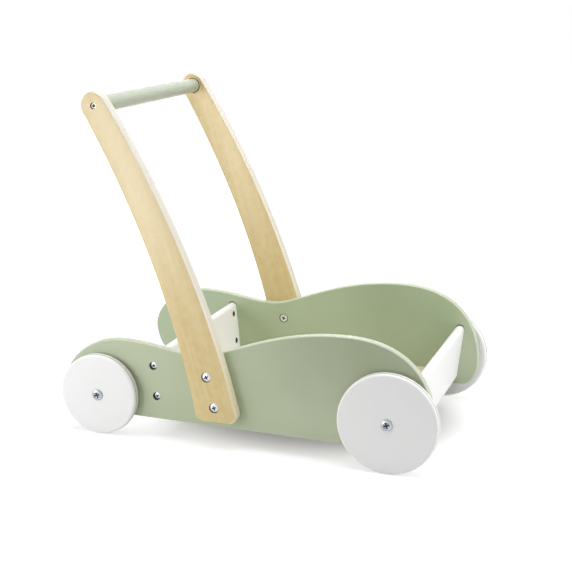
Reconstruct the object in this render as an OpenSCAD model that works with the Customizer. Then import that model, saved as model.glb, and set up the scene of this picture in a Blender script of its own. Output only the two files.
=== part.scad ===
// Push-along walker cart: curved side panels, leaning cross panels, a tongued floor,
// bent arms with a grip bar, and four wheels that turn on shoulder bolts.
// Millimetres. +X is the way it rolls, +Y is its left side, +Z is up.
// The origin lies on the ground, under the middle of the overall length.

/* [Body] */
// Width over the outer faces of the side panels
body_w = 290; // [220:1:380]
// Thickness of the side panels
side_t = 12; // [10:0.5:18]
// Round-over on the edges of the side panels
side_round = 2; // [0.5:0.1:4]
// Thickness of the cross panels
cross_t = 12; // [10:0.5:18]
// Height of the lower edge of the cross panels
cross_bottom_z = 35; // [31:1:39]
// Height of the upper edge of the cross panels
cross_top_z = 112; // [95:1:116]
// Outward lean of the cross panels in degrees
cross_lean = 6.2; // [0:0.1:10]
// Round-over on the lower edge of the cross panels
cross_round = 3; // [1:0.1:4.5]
// Distance of the rear panel in front of the rear axle
rear_panel_from_axle = 76; // [60:1:100]
// Distance of the front panel in front of the front axle
front_panel_from_axle = 23.5; // [19:0.5:30]
// Depth of the housings and grooves in the inner faces of the side panels
housing_depth = 3; // [2:0.1:4]
// Side clearance of a cross panel in its housing
housing_clear = 0.25; // [0.1:0.05:0.5]
// Gap between the rounded top of a cross panel and the end of its housing
housing_end_gap = 1.3; // [0.3:0.1:2]

/* [Side panel outline] */
// Height of the straight bottom edge above the ground
panel_bottom_z = 26; // [20:1:29]
// Length of the curved corners at both ends of the bottom edge
corner_run = 22; // [15:1:35]
// Distance of the rear end behind the rear axle
rear_overhang = 53; // [40:1:60]
// Height of the rearmost point
rear_end_z = 66; // [55:1:75]
// Distance of the rear crest in front of the rear axle
rear_crest_from_axle = 29; // [15:1:45]
// Height of the rear crest
rear_crest_z = 128; // [122:1:140]
// Distance of the dip in front of the rear axle
dip_from_axle = 135; // [120:1:150]
// Height of the dip
dip_z = 118; // [114:1:124]
// Distance of the front crest behind the front axle
front_crest_from_axle = 57; // [40:1:75]
// Height of the front crest
front_crest_z = 164; // [150:1:180]
// Distance of the nose in front of the front axle
nose_overhang = 55; // [48:1:62]
// Height of the foremost point
nose_z = 59; // [52:1:66]

/* [Side panel curves] */
// Pull of the outline from the front of the bottom edge towards the nose
front_bottom_pull = 17; // [8:1:20]
// Pull of the outline at the nose, downwards
nose_pull_down = 8; // [4:1:16]
// Pull of the outline at the nose, upwards
nose_pull_up = 52; // [35:1:65]
// Pull of the outline at the front crest, forwards
front_crest_pull_front = 84; // [65:1:95]
// Pull of the outline at the front crest, backwards
front_crest_pull_back = 100; // [70:1:115]
// Pull of the outline at the dip, forwards
dip_pull_front = 35; // [25:1:50]
// Pull of the outline at the dip, backwards
dip_pull_back = 41; // [30:1:50]
// Pull of the outline at the rear crest, forwards
rear_crest_pull_front = 49; // [35:1:55]
// Pull of the outline at the rear crest, backwards
rear_crest_pull_back = 46; // [35:1:60]
// Pull of the outline at the rear end, upwards
rear_end_pull_up = 30; // [20:1:45]
// Pull of the outline at the rear end, downwards
rear_end_pull_down = 13; // [8:1:20]
// Pull of the outline from the rear of the bottom edge towards the rear end
rear_bottom_pull = 13; // [8:1:20]

/* [Arms and handle] */
// Thickness of the arms
arm_t = 15; // [12:0.5:20]
// Round-over on the edges of the arms
arm_round = 3; // [0.5:0.1:4]
// Width of an arm at its foot
arm_foot_w = 57; // [45:1:66]
// Width of an arm at its upper end
arm_tip_w = 35; // [30:1:42]
// Distance of the middle of the foot in front of the dip
arm_foot_from_dip = 34; // [25:1:45]
// Height of the lower edge of the arms
arm_foot_z = 37; // [32:1:42]
// Radius of the bend of the arms
arm_bend_r = 1290; // [700:10:2500]
// Corner radius at the back of the foot
arm_corner_back_r = 10; // [5:0.5:14]
// Corner radius at the front of the foot
arm_corner_front_r = 12; // [5:0.5:14]
// Distance of the lower arm bolt above the foot
arm_bolt_low = 20; // [17:0.5:24]
// Distance between the two arm bolts
arm_bolt_pitch = 41; // [30:0.5:48]
// Height of the middle of the handle
handle_z = 430.5; // [380:0.5:500]
// Distance of the handle behind the foot of the arms
handle_reach = 163; // [130:1:190]
// Diameter of the handle
handle_d = 20; // [16:0.5:24]
// Depth of the bore in each arm that takes the end of the handle
handle_seat = 5; // [3:0.5:6]
// Clearance round the end of the handle
handle_clear = 0.7; // [0.1:0.1:1]

/* [Floor] */
// Height of the upper face of the floor
floor_top_z = 45.5; // [43:0.5:47]
// Thickness of the floor
floor_t = 5; // [4:0.5:6]
// Thickness of the tongue round the edge of the floor
tongue_t = 3; // [2:0.1:3.5]
// Clearance between the floor and the panels
floor_clear = 0.3; // [0.1:0.05:0.6]

/* [Wheels] */
// Distance between the axles
wheelbase = 390; // [340:1:460]
// Diameter of the front wheels over their treads
front_wheel_d = 128; // [110:1:150]
// Diameter of the rear wheels over their treads
rear_wheel_d = 108; // [90:1:125]
// Thickness of the wheels
wheel_t = 13; // [11:0.5:18]
// Round-over on the edges of the wheels
wheel_round = 3; // [1:0.1:3.5]
// Width of the tread ring
tread_w = 4; // [3:0.1:4.8]
// Depth of the tread groove in the rim
tread_depth = 2.5; // [1.5:0.1:4]
// Height of the tread above the rim
tread_proud = 0.3; // [0.1:0.05:0.6]
// Outer diameter of the wheel bush
bush_d = 13; // [11:0.1:16]
// Radial running clearance between bush and shoulder bolt
run_clear = 0.05; // [0.02:0.01:0.1]
// Free play on each side of a wheel
wheel_play = 0.25; // [0.2:0.05:0.6]
// Thickness of the spacer between wheel and side panel
spacer_t = 2.2; // [1.5:0.1:4]
// Outer diameter of the spacer
spacer_d = 18; // [14:0.5:24]

/* [Fasteners] */
// Diameter of the shoulder of the wheel bolts
shoulder_d = 8; // [7:0.1:9]
// Diameter of the wheel bolt heads
wheel_head_d = 14.5; // [12:0.1:18]
// Height of the wheel bolt heads
wheel_head_h = 3.5; // [2.5:0.1:5]
// Diameter of the large bolts
bolt_d = 6; // [5:0.1:6.5]
// Diameter of the arm bolt heads and of the sleeve nut heads
arm_head_d = 12; // [10:0.1:14]
// Height of the arm bolt heads and of the sleeve nut heads
arm_head_h = 2.2; // [1.5:0.1:3]
// Depth of the arm bolt heads below the face of the arm
arm_head_sunk = 0.8; // [0:0.1:1.5]
// Outer diameter of the sleeve nuts
sleeve_d = 8; // [7.5:0.1:9]
// Length of the sleeve nuts inside the arms
sleeve_reach = 6; // [4:0.5:8]
// Diameter of the cross panel bolt heads
cross_head_d = 8.4; // [7.5:0.1:10]
// Height of the cross panel bolt heads
cross_head_h = 2.6; // [2:0.1:3.5]
// Depth of the cross panel bolt heads below the face of the side panel
cross_head_sunk = 2.2; // [0:0.1:2.5]
// Distance of the lower cross panel bolts above the lower edge of the panel
cross_bolt_low = 22; // [19:0.5:26]
// Distance of the upper cross panel bolts below the upper edge of the panel
cross_bolt_high = 14.5; // [12:0.5:20]
// Diameter of the barrel nuts
barrel_d = 8; // [7.5:0.1:10]
// Distance of the barrel nuts from the inner face of the side panel
barrel_inset = 12; // [9:0.5:16]
// Wood left behind the blind end of a barrel nut
barrel_wall = 1.5; // [1:0.1:3]
// Length of bolt that stands out of a barrel nut
barrel_overrun = 2; // [1:0.5:4]
// Diameter of the handle screws
screw_d = 5; // [4:0.1:5.5]
// Diameter of the handle screw heads
screw_head_d = 8; // [7:0.1:10]
// Height of the handle screw heads
screw_head_h = 2.6; // [2:0.1:3.5]
// Depth of the handle screw heads below the face of the arm
screw_head_sunk = 1.2; // [0:0.1:2]
// Outer diameter of the threaded insert in the handle
insert_d = 8; // [7.5:0.1:10]
// Length of the threaded insert in the handle
insert_l = 18; // [12:1:30]
// Outer diameter of the wheel nut barrel
nut_d = 9; // [8.5:0.1:11]
// Diameter of the wheel nut flange
nut_flange_d = 16; // [14:0.5:20]
// Thickness of the wheel nut flange
nut_flange_t = 1.5; // [1:0.1:2]
// Wood left between the wheel nut and the outer face of the side panel
nut_wall = 3; // [2:0.1:4]
// Radial clearance round bolts and nuts in their holes
hole_clear = 0.2; // [0.1:0.05:0.4]
// Radial clearance of pressed pieces in their seats
snug = 0.05; // [0.02:0.01:0.1]
// Width of the slots of the cross recesses
recess_w = 1.4; // [1:0.1:2]
// Depth of the recesses in the bolt heads
recess_depth = 1.3; // [0.8:0.1:1.4]

/* [Hidden] */

left = 1;
right = -1;
sides = [left, right];
cut = 0.5;
wave_steps = 16;
corner_steps = 7;
round_steps = 3;
$fn = 96;

sage = "#AAB594";
white = "#F2F2F0";
birch = "#DCC08A";
ply = "#E6CFA4";
zinc = "#BFC2C5";
rubber = "#ECE8DC";
nylon = "#E4E4DE";

overall_l = wheelbase + (front_wheel_d + rear_wheel_d) / 2;
rear_axle = [-overall_l / 2 + rear_wheel_d / 2, rear_wheel_d / 2];
front_axle = [overall_l / 2 - front_wheel_d / 2, front_wheel_d / 2];
axles = [rear_axle, front_axle];
outer_y = body_w / 2;
inner_y = outer_y - side_t;
housing_y = inner_y + housing_depth;

// Points of the side panel where its outline runs level or upright
rear_end = [rear_axle.x - rear_overhang, rear_end_z];
rear_crest = [rear_axle.x + rear_crest_from_axle, rear_crest_z];
dip = [rear_axle.x + dip_from_axle, dip_z];
front_crest = [front_axle.x - front_crest_from_axle, front_crest_z];
nose = [front_axle.x + nose_overhang, nose_z];
bottom_rear = [rear_end.x + corner_run, panel_bottom_z];
bottom_front = [nose.x - corner_run, panel_bottom_z];

// Cross panels are drawn upright about the middle of their height, then leaned
cross_mid_z = (cross_bottom_z + cross_top_z) / 2;
cross_half_h = (cross_top_z - cross_bottom_z) / 2 / cos(cross_lean);
cross_bolt_h = [-cross_half_h + cross_bolt_low, cross_half_h - cross_bolt_high];
rear_panel_x = rear_axle.x + rear_panel_from_axle;
front_panel_x = front_axle.x + front_panel_from_axle;
rear_lean = -cross_lean;
front_lean = cross_lean;
cross_seat_depth = cross_head_sunk + cross_head_h;
barrel_l = cross_t - 2 * barrel_wall;
barrel_y = inner_y - barrel_inset;
cross_bolt_end_y = barrel_y - barrel_d / 2 - barrel_overrun;

floor_bottom_z = floor_top_z - floor_t;
tongue_top_z = floor_bottom_z + tongue_t;
floor_rear_x = cross_face_x(rear_panel_x, rear_lean, floor_bottom_z, 1) + floor_clear;
floor_front_x = cross_face_x(front_panel_x, front_lean, floor_bottom_z, -1) - floor_clear;

arm_foot = [dip.x + arm_foot_from_dip, arm_foot_z];
handle = [arm_foot.x - handle_reach, handle_z];
arm_chord = norm(handle - arm_foot);
arm_chord_angle = atan2(handle_reach, handle_z - arm_foot_z);
arm_sweep = 2 * asin(arm_chord / (2 * arm_bend_r));
arm_foot_angle = arm_chord_angle - arm_sweep / 2;
arm_tip_angle = arm_chord_angle + arm_sweep / 2;
arm_length = arm_bend_r * arm_sweep * PI / 180;
arm_side_start = arm_foot_w / 2 * tan(arm_foot_angle)
  + max(arm_corner_back_r, arm_corner_front_r) / tan(45 - arm_foot_angle / 2);
arm_side_step = (arm_length - arm_side_start) / wave_steps;
arm_outer_y = outer_y + arm_t;
arm_seat_depth = arm_head_sunk + arm_head_h;
arm_bolt_end_y = inner_y + arm_head_h + recess_depth + hole_clear;
arm_bolt_points = [arm_point(arm_bolt_low, 0), arm_point(arm_bolt_low + arm_bolt_pitch, 0)];

handle_end_y = outer_y + handle_seat;
screw_seat_depth = screw_head_sunk + screw_head_h;
screw_end_y = handle_end_y - insert_l + hole_clear;

wheel_inner_y = outer_y + spacer_t + wheel_play;
wheel_outer_y = wheel_inner_y + wheel_t;
wheel_head_y = wheel_outer_y + wheel_play;
nut_end_y = outer_y - nut_wall;

// Points along a cubic curve, without its last point
function bezier(a, b, c, d, steps) = [
  for (i = [0 : steps - 1])
    let (t = i / steps, u = 1 - t)
      u * u * u * a + 3 * u * u * t * b + 3 * u * t * t * c + t * t * t * d
];

function panel_outline() = concat(
  [bottom_rear],
  bezier(bottom_front, bottom_front + [front_bottom_pull, 0],
    nose - [0, nose_pull_down], nose, corner_steps),
  bezier(nose, nose + [0, nose_pull_up],
    front_crest + [front_crest_pull_front, 0], front_crest, wave_steps),
  bezier(front_crest, front_crest - [front_crest_pull_back, 0],
    dip + [dip_pull_front, 0], dip, wave_steps),
  bezier(dip, dip - [dip_pull_back, 0],
    rear_crest + [rear_crest_pull_front, 0], rear_crest, wave_steps),
  bezier(rear_crest, rear_crest - [rear_crest_pull_back, 0],
    rear_end + [0, rear_end_pull_up], rear_end, wave_steps),
  bezier(rear_end, rear_end - [0, rear_end_pull_down],
    bottom_rear - [rear_bottom_pull, 0], bottom_rear, corner_steps)
);

// Where a leaning cross panel's face stands at height z, on its front (1) or rear (-1)
function cross_face_x(panel_x, lean, z, face) =
  panel_x + (z - cross_mid_z) * tan(lean) + face * cross_t / 2 / cos(lean);

// Point on the middle plane of a cross panel, h above the middle of its height
function cross_point(panel_x, lean, h) = [panel_x + h * sin(lean), cross_mid_z + h * cos(lean)];

// Point of an arm at a distance along its bend from the foot, offset to the front
function arm_angle(along) = arm_foot_angle + along / arm_bend_r * 180 / PI;
function arm_middle(along) = let (a = arm_angle(along)) arm_foot
  + arm_bend_r * [cos(a) - cos(arm_foot_angle), sin(a) - sin(arm_foot_angle)];
function arm_point(along, offset) =
  arm_middle(along) + offset * [cos(arm_angle(along)), sin(arm_angle(along))];
function arm_half_w(along) = (arm_foot_w + (arm_tip_w - arm_foot_w) * along / arm_length) / 2;

// Corner where an edge of the arm, continued straight, meets the level foot
function foot_corner(offset) = let (p = arm_point(0, offset))
  p + (arm_foot_z - p.y) * [-tan(arm_foot_angle), 1];

// Points of an arc that rounds the corner c between the directions to a and b
function fillet(a, c, b, r, steps) =
  let (u = (a - c) / norm(a - c), v = (b - c) / norm(b - c))
  let (half = acos(u * v) / 2, centre = c + (u + v) / norm(u + v) * r / sin(half))
  let (from = c + u * r / tan(half) - centre, turn = 180 - 2 * half)
    [for (i = [0 : steps]) let (t = turn * i / steps)
      centre + [from.x * cos(t) - from.y * sin(t), from.x * sin(t) + from.y * cos(t)]];

// Point on the edge of an arm, on its front (1) or its back (-1)
function arm_edge(along, face) = arm_point(along, face * arm_half_w(along));

function arm_outline() =
  let (back = foot_corner(-arm_foot_w / 2), front = foot_corner(arm_foot_w / 2))
  let (stations = [for (i = [0 : wave_steps - 1]) arm_side_start + i * arm_side_step])
  concat(
    fillet(back, front, arm_edge(arm_side_start, 1), arm_corner_front_r, corner_steps),
    [for (s = stations) arm_edge(s, 1)],
    [for (i = [0 : wave_steps]) let (a = arm_tip_angle + 180 * i / wave_steps)
      handle + arm_tip_w / 2 * [cos(a), sin(a)]],
    [for (i = [wave_steps - 1 : -1 : 0]) arm_edge(stations[i], -1)],
    fillet(arm_edge(arm_side_start, -1), back, front, arm_corner_back_r, corner_steps)
  );

// Outline moved inwards by a distance along the normals at its points
function inset(points, by) = let (n = len(points)) [
  for (i = [0 : n - 1])
    let (t = points[(i + 1) % n] - points[(i + n - 1) % n], u = t / norm(t))
      points[i] - by * [u.y, -u.x]
];

// Faces that fill an outline of n points: one face, or rungs between its two halves
function whole_face(n) = [[for (i = [0 : n - 1]) i]];
function rung_faces(n) = [for (i = [0 : (n - 3) / 2]) let (j = n - 1 - i)
  i + 1 < j - 1 ? [i, i + 1, j - 1, j] : [i, i + 1, j]];

// Flat plate of a counter-clockwise outline, with both rims rounded over
module rounded_plate(points, t, r, fill) {
  n = len(points);
  rims = [for (i = [0 : round_steps]) let (a = 90 * i / round_steps) [r * (1 - sin(a)), r * (1 - cos(a))]];
  levels = concat(rims, [for (i = [round_steps : -1 : 0]) [rims[i][0], t - rims[i][1]]]);
  top = len(levels) - 1;
  walls = [for (k = [0 : top - 1], i = [0 : n - 1]) let (j = (i + 1) % n, low = k * n, high = low + n)
    [[low + i, high + i, high + j], [low + i, high + j, low + j]]];
  polyhedron(
    points = [for (level = levels) for (p = inset(points, level[0])) [p.x, p.y, level[1]]],
    faces = concat(
      fill,
      [for (pair = walls) each pair],
      [for (face = fill) [for (i = [len(face) - 1 : -1 : 0]) top * n + face[i]]]
    ),
    convexity = 6
  );
}

module on_side(side) {
  mirror([0, side == left ? 0 : 1, 0]) children();
}

// Stands a plate that was drawn flat, with its outer face at y
module stand_at(y) {
  translate([0, y, 0]) rotate([90, 0, 0]) children();
}

// Cylinder along Y through a point of the side view, between two values of y
module rod(point, y0, y1, d) {
  translate([point.x, y0, point.y]) rotate([-90, 0, 0]) cylinder(d = d, h = y1 - y0);
}

// Solid turned about Y at a point of the side view, with its base at y
module turned(point, y) {
  translate([point.x, y, point.y]) rotate([-90, 0, 0]) rotate_extrude() children();
}

// Round head with a low dome, its base at y = 0 and its crown at y = h
module domed_head(d, h, rim_h) {
  rise = h - rim_h;
  dome_r = (d * d / 4 + rise * rise) / (2 * rise);
  rotate([-90, 0, 0]) intersection() {
    cylinder(d = d, h = h);
    translate([0, 0, h - dome_r]) sphere(r = dome_r);
  }
}

// Cross-shaped hole for a driver, sunk from y = 0
module cross_recess(span) {
  for (turn = [0, 90])
    rotate([0, 45 + turn, 0])
      translate([-span / 2, -recess_depth, -recess_w / 2])
        cube([span, recess_depth + cut, recess_w]);
}

module lean_at(panel_x, lean) {
  translate([panel_x, 0, cross_mid_z]) rotate([0, lean, 0]) children();
}

// Section of a cross panel, rounded over its whole top edge, or of the housing round it
module cross_section(grow, end_gap) {
  half = cross_t / 2 + grow;
  r = cross_round + grow;
  bottom = -cross_half_h - grow;
  round_h = cross_half_h - cross_t / 2 + end_gap - grow;
  translate([0, round_h]) circle(r = half);
  translate([-half, bottom + r]) square([2 * half, round_h - bottom - r]);
  translate([-half + r, bottom]) square([2 * (half - r), 2 * r]);
  for (s = sides) translate([s * (half - r), bottom + r]) circle(r = r);
}

module cross_board(panel_x, lean, y0, y1, grow, end_gap) {
  lean_at(panel_x, lean)
    translate([0, y1, 0]) rotate([90, 0, 0])
      linear_extrude(y1 - y0) cross_section(grow, end_gap);
}

module side_panel(side) {
  outline = panel_outline();
  color(sage) on_side(side) difference() {
    stand_at(outer_y) rounded_plate(outline, side_t, side_round, whole_face(len(outline)));
    cross_panel_seat(rear_panel_x, rear_lean);
    cross_panel_seat(front_panel_x, front_lean);
    translate([floor_rear_x - housing_depth, inner_y - cut, floor_bottom_z])
      cube([floor_front_x - floor_rear_x + 2 * housing_depth, housing_depth + cut, tongue_t + floor_clear]);
    for (p = arm_bolt_points) {
      rod(p, inner_y - cut, outer_y + cut, sleeve_d + 2 * hole_clear);
      rod(p, inner_y - cut, inner_y + arm_head_h, arm_head_d + 2 * hole_clear);
    }
    for (p = axles) {
      rod(p, inner_y - cut, outer_y + cut, bolt_d + 2 * hole_clear);
      rod(p, inner_y - cut, nut_end_y, nut_d + 2 * snug);
      rod(p, inner_y - cut, inner_y + nut_flange_t, nut_flange_d + 2 * hole_clear);
    }
  }
}

// Housing and bolt holes for one cross panel in the left side panel
module cross_panel_seat(panel_x, lean) {
  cross_board(panel_x, lean, inner_y - cut, housing_y, housing_clear, housing_end_gap);
  for (h = cross_bolt_h) {
    p = cross_point(panel_x, lean, h);
    rod(p, inner_y - cut, outer_y + cut, bolt_d + 2 * hole_clear);
    rod(p, outer_y - cross_seat_depth, outer_y + cut, cross_head_d + 2 * hole_clear);
  }
}

// Cross panel with its cargo side on the front (1) or on the rear (-1)
module cross_panel(panel_x, lean, cargo) {
  color(white) difference() {
    cross_board(panel_x, lean, -housing_y, housing_y, 0, 0);
    lean_at(panel_x, lean) for (side = sides, h = cross_bolt_h) on_side(side) {
      rod([0, h], cross_bolt_end_y - hole_clear, housing_y + cut, bolt_d + 2 * hole_clear);
      translate([cargo * (cross_t / 2 - barrel_wall - barrel_l), barrel_y, h])
        rotate([0, cargo * 90, 0])
          cylinder(d = barrel_d + 2 * snug, h = barrel_l + barrel_wall + cut);
    }
    translate([cargo > 0 ? floor_rear_x - housing_depth : floor_front_x - cut, -inner_y, floor_bottom_z])
      cube([housing_depth + cut, 2 * inner_y, tongue_t + floor_clear]);
  }
}

module front_panel() {
  cross_panel(front_panel_x, front_lean, -1);
}

module rear_panel() {
  cross_panel(rear_panel_x, rear_lean, 1);
}

module floor_board() {
  side_y = inner_y - floor_clear;
  reach = housing_depth - floor_clear;
  color(ply) {
    translate([floor_rear_x, -side_y, floor_bottom_z])
      cube([floor_front_x - floor_rear_x, 2 * side_y, floor_t]);
    translate([floor_rear_x - reach, -side_y, floor_bottom_z])
      cube([floor_front_x - floor_rear_x + 2 * reach, 2 * side_y, tongue_t]);
    translate([floor_rear_x, -inner_y - reach, floor_bottom_z])
      cube([floor_front_x - floor_rear_x, 2 * (inner_y + reach), tongue_t]);
  }
}

module arm(side) {
  outline = arm_outline();
  color(birch) on_side(side) difference() {
    stand_at(arm_outer_y) rounded_plate(outline, arm_t, arm_round, rung_faces(len(outline)));
    for (p = arm_bolt_points) {
      rod(p, outer_y - cut, arm_outer_y + cut, sleeve_d + 2 * hole_clear);
      rod(p, arm_outer_y - arm_seat_depth, arm_outer_y + cut, arm_head_d + 2 * hole_clear);
    }
    rod(handle, outer_y - cut, handle_end_y, handle_d + 2 * handle_clear);
    rod(handle, outer_y, arm_outer_y + cut, screw_d + 2 * hole_clear);
    rod(handle, arm_outer_y - screw_seat_depth, arm_outer_y + cut, screw_head_d + 2 * hole_clear);
  }
}

module handle_bar() {
  color(sage) difference() {
    rod(handle, -handle_end_y, handle_end_y, handle_d);
    for (side = sides) on_side(side)
      rod(handle, handle_end_y - insert_l, handle_end_y + cut, insert_d + 2 * snug);
  }
}

module handle_screws() {
  socket_d = screw_head_d / 2;
  head_y = arm_outer_y - screw_seat_depth;
  color(zinc) for (side = sides) on_side(side) difference() {
    union() {
      rod(handle, head_y, head_y + screw_head_h, screw_head_d);
      rod(handle, screw_end_y, head_y + cut, screw_d);
    }
    translate([handle.x, head_y + screw_head_h - recess_depth, handle.y])
      rotate([-90, 0, 0]) cylinder(d = socket_d, h = recess_depth + cut, $fn = 6);
  }
}

module handle_inserts() {
  color(zinc) for (side = sides) on_side(side) difference() {
    rod(handle, handle_end_y - insert_l, handle_end_y, insert_d);
    rod(handle, handle_end_y - insert_l - cut, handle_end_y + cut, screw_d + 2 * snug);
  }
}

module arm_bolts() {
  head_y = arm_outer_y - arm_seat_depth;
  color(zinc) for (side = sides, p = arm_bolt_points) on_side(side) difference() {
    union() {
      translate([p.x, head_y, p.y]) domed_head(arm_head_d, arm_head_h, arm_head_h / 2);
      rod(p, arm_bolt_end_y, head_y + cut, bolt_d);
    }
    translate([p.x, head_y + arm_head_h, p.y]) cross_recess(arm_head_d / 2);
  }
}

module arm_sleeve_nuts() {
  color(zinc) for (side = sides, p = arm_bolt_points) on_side(side) difference() {
    union() {
      rod(p, inner_y, inner_y + arm_head_h, arm_head_d);
      rod(p, inner_y, outer_y + sleeve_reach, sleeve_d);
    }
    rod(p, arm_bolt_end_y - hole_clear, outer_y + sleeve_reach + cut, bolt_d + 2 * snug);
    translate([p.x, inner_y, p.y]) mirror([0, 1, 0]) cross_recess(arm_head_d / 2);
  }
}

module cross_panel_bolts(panel_x, lean) {
  head_y = outer_y - cross_seat_depth;
  color(zinc) for (side = sides, h = cross_bolt_h) on_side(side) {
    p = cross_point(panel_x, lean, h);
    difference() {
      union() {
        translate([p.x, head_y, p.y]) domed_head(cross_head_d, cross_head_h, cross_head_h / 2);
        rod(p, cross_bolt_end_y, head_y + cut, bolt_d);
      }
      translate([p.x, head_y + cross_head_h, p.y]) cross_recess(cross_head_d / 2);
    }
  }
}

module front_panel_bolts() {
  cross_panel_bolts(front_panel_x, front_lean);
}

module rear_panel_bolts() {
  cross_panel_bolts(rear_panel_x, rear_lean);
}

// Barrel nuts with a driver slot on the cargo side of their panel
module barrel_nuts(panel_x, lean, cargo) {
  color(zinc) lean_at(panel_x, lean) for (side = sides, h = cross_bolt_h) on_side(side)
    translate([cargo * (cross_t / 2 - barrel_wall - barrel_l), barrel_y, h])
      rotate([0, cargo * 90, 0]) difference() {
        cylinder(d = barrel_d, h = barrel_l);
        translate([0, 0, barrel_l / 2]) rotate([90, 0, 0])
          cylinder(d = bolt_d + 2 * snug, h = 2 * barrel_d, center = true);
        translate([-barrel_d, -recess_w / 2, barrel_l - recess_depth / 2])
          cube([2 * barrel_d, recess_w, recess_depth]);
      }
}

module front_barrel_nuts() {
  barrel_nuts(front_panel_x, front_lean, -1);
}

module rear_barrel_nuts() {
  barrel_nuts(rear_panel_x, rear_lean, 1);
}

// Half section of a wheel: radius along x, thickness along y
module wheel_section(rim_r) {
  difference() {
    union() {
      square([rim_r - wheel_round, wheel_t]);
      translate([0, wheel_round]) square([rim_r, wheel_t - 2 * wheel_round]);
      for (y = [wheel_round, wheel_t - wheel_round])
        translate([rim_r - wheel_round, y]) circle(r = wheel_round);
    }
    translate([-cut, -cut]) square([bush_d / 2 + snug + cut, wheel_t + 2 * cut]);
    translate([rim_r - tread_depth, (wheel_t - tread_w) / 2]) square([tread_depth + cut, tread_w]);
  }
}

module wheel(axle, side) {
  color(white) on_side(side) turned(axle, wheel_inner_y) wheel_section(axle.y - tread_proud);
}

module tread(axle, side) {
  floor_r = axle.y - tread_proud - tread_depth + snug;
  w = tread_w - 2 * snug;
  crown_r = w / 3;
  color(rubber) on_side(side) turned(axle, wheel_inner_y + (wheel_t - w) / 2) {
    translate([floor_r, 0]) square([axle.y - crown_r - floor_r, w]);
    translate([floor_r, crown_r]) square([axle.y - floor_r, w - 2 * crown_r]);
    for (y = [crown_r, w - crown_r]) translate([axle.y - crown_r, y]) circle(r = crown_r);
  }
}

module bush(axle, side) {
  bore_r = shoulder_d / 2 + run_clear;
  color(nylon) on_side(side) turned(axle, wheel_inner_y)
    translate([bore_r, 0]) square([bush_d / 2 - bore_r, wheel_t]);
}

module wheel_bolts(axle) {
  color(zinc) for (side = sides) on_side(side) difference() {
    union() {
      translate([axle.x, wheel_head_y, axle.y]) domed_head(wheel_head_d, wheel_head_h, wheel_head_h / 4);
      rod(axle, outer_y, wheel_head_y + cut, shoulder_d);
      rod(axle, inner_y, outer_y + cut, bolt_d);
    }
    translate([axle.x, wheel_head_y + wheel_head_h, axle.y]) cross_recess(wheel_head_d / 2);
  }
}

module wheel_spacers() {
  color(nylon) for (side = sides, axle = axles) on_side(side) difference() {
    rod(axle, outer_y, outer_y + spacer_t, spacer_d);
    rod(axle, outer_y - cut, outer_y + spacer_t + cut, shoulder_d + 2 * hole_clear);
  }
}

module wheel_nuts() {
  color(zinc) for (side = sides, axle = axles) on_side(side) difference() {
    union() {
      rod(axle, inner_y, inner_y + nut_flange_t, nut_flange_d);
      rod(axle, inner_y, nut_end_y, nut_d);
    }
    rod(axle, inner_y - cut, nut_end_y + cut, bolt_d + 2 * snug);
  }
}

side_panel(left);  // side_panel_left
side_panel(right);  // side_panel_right
front_panel();
rear_panel();
floor_board();
arm(left);  // arm_left
arm(right);  // arm_right
handle_bar();
handle_screws();
handle_inserts();
arm_bolts();
arm_sleeve_nuts();
front_panel_bolts();
rear_panel_bolts();
front_barrel_nuts();
rear_barrel_nuts();
wheel(front_axle, left);  // front_wheel_left
wheel(front_axle, right);  // front_wheel_right
wheel(rear_axle, left);  // rear_wheel_left
wheel(rear_axle, right);  // rear_wheel_right
tread(front_axle, left);  // front_tread_left
tread(front_axle, right);  // front_tread_right
tread(rear_axle, left);  // rear_tread_left
tread(rear_axle, right);  // rear_tread_right
bush(front_axle, left);  // front_bush_left
bush(front_axle, right);  // front_bush_right
bush(rear_axle, left);  // rear_bush_left
bush(rear_axle, right);  // rear_bush_right
wheel_bolts(front_axle);  // front_wheel_bolts
wheel_bolts(rear_axle);  // rear_wheel_bolts
wheel_spacers();
wheel_nuts();
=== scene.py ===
# %% [markdown]
# A wooden push-along walker: two curved side panels, two leaning cross panels, a floor,
# two bent arms with a grip bar, and four white wheels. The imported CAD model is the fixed
# frame. It is loaded first, so that every piece below has something to sit on.

# %% Load the fixed frame
import math

import bpy
from mathutils import Matrix, Vector


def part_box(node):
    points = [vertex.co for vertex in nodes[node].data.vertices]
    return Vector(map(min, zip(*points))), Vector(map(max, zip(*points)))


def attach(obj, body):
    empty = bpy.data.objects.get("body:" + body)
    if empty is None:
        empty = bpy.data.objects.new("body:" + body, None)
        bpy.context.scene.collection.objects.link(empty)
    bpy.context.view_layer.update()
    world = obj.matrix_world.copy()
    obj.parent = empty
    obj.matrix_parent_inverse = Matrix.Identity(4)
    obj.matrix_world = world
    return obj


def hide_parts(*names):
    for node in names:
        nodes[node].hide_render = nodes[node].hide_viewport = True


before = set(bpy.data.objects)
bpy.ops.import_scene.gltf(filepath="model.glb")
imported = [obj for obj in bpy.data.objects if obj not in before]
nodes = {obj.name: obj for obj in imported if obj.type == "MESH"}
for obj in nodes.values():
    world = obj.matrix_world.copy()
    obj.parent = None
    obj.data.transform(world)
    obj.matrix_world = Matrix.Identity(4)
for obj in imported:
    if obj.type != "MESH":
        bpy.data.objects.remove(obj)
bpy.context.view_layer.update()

# %% [markdown]
# The camera stands off the cart's right side, a step towards its front and somewhat higher
# than the grip bar. It could be placed by eye, but the wheels, bolts and edges of the picture
# fix it, so its place, its turns and its lens are written out. A small roll is left in.

# %% Camera
CAMERA_AT = Vector((0.5325, -1.5081, 0.5929))
# Degrees round the cart, up from looking straight down, and about the line of sight.
CAMERA_TURNS = ((19.320, "Z"), (75.570, "X"), (0.473, "Z"))
CAMERA_LENS = 76.96
SENSOR = 36.0

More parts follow.
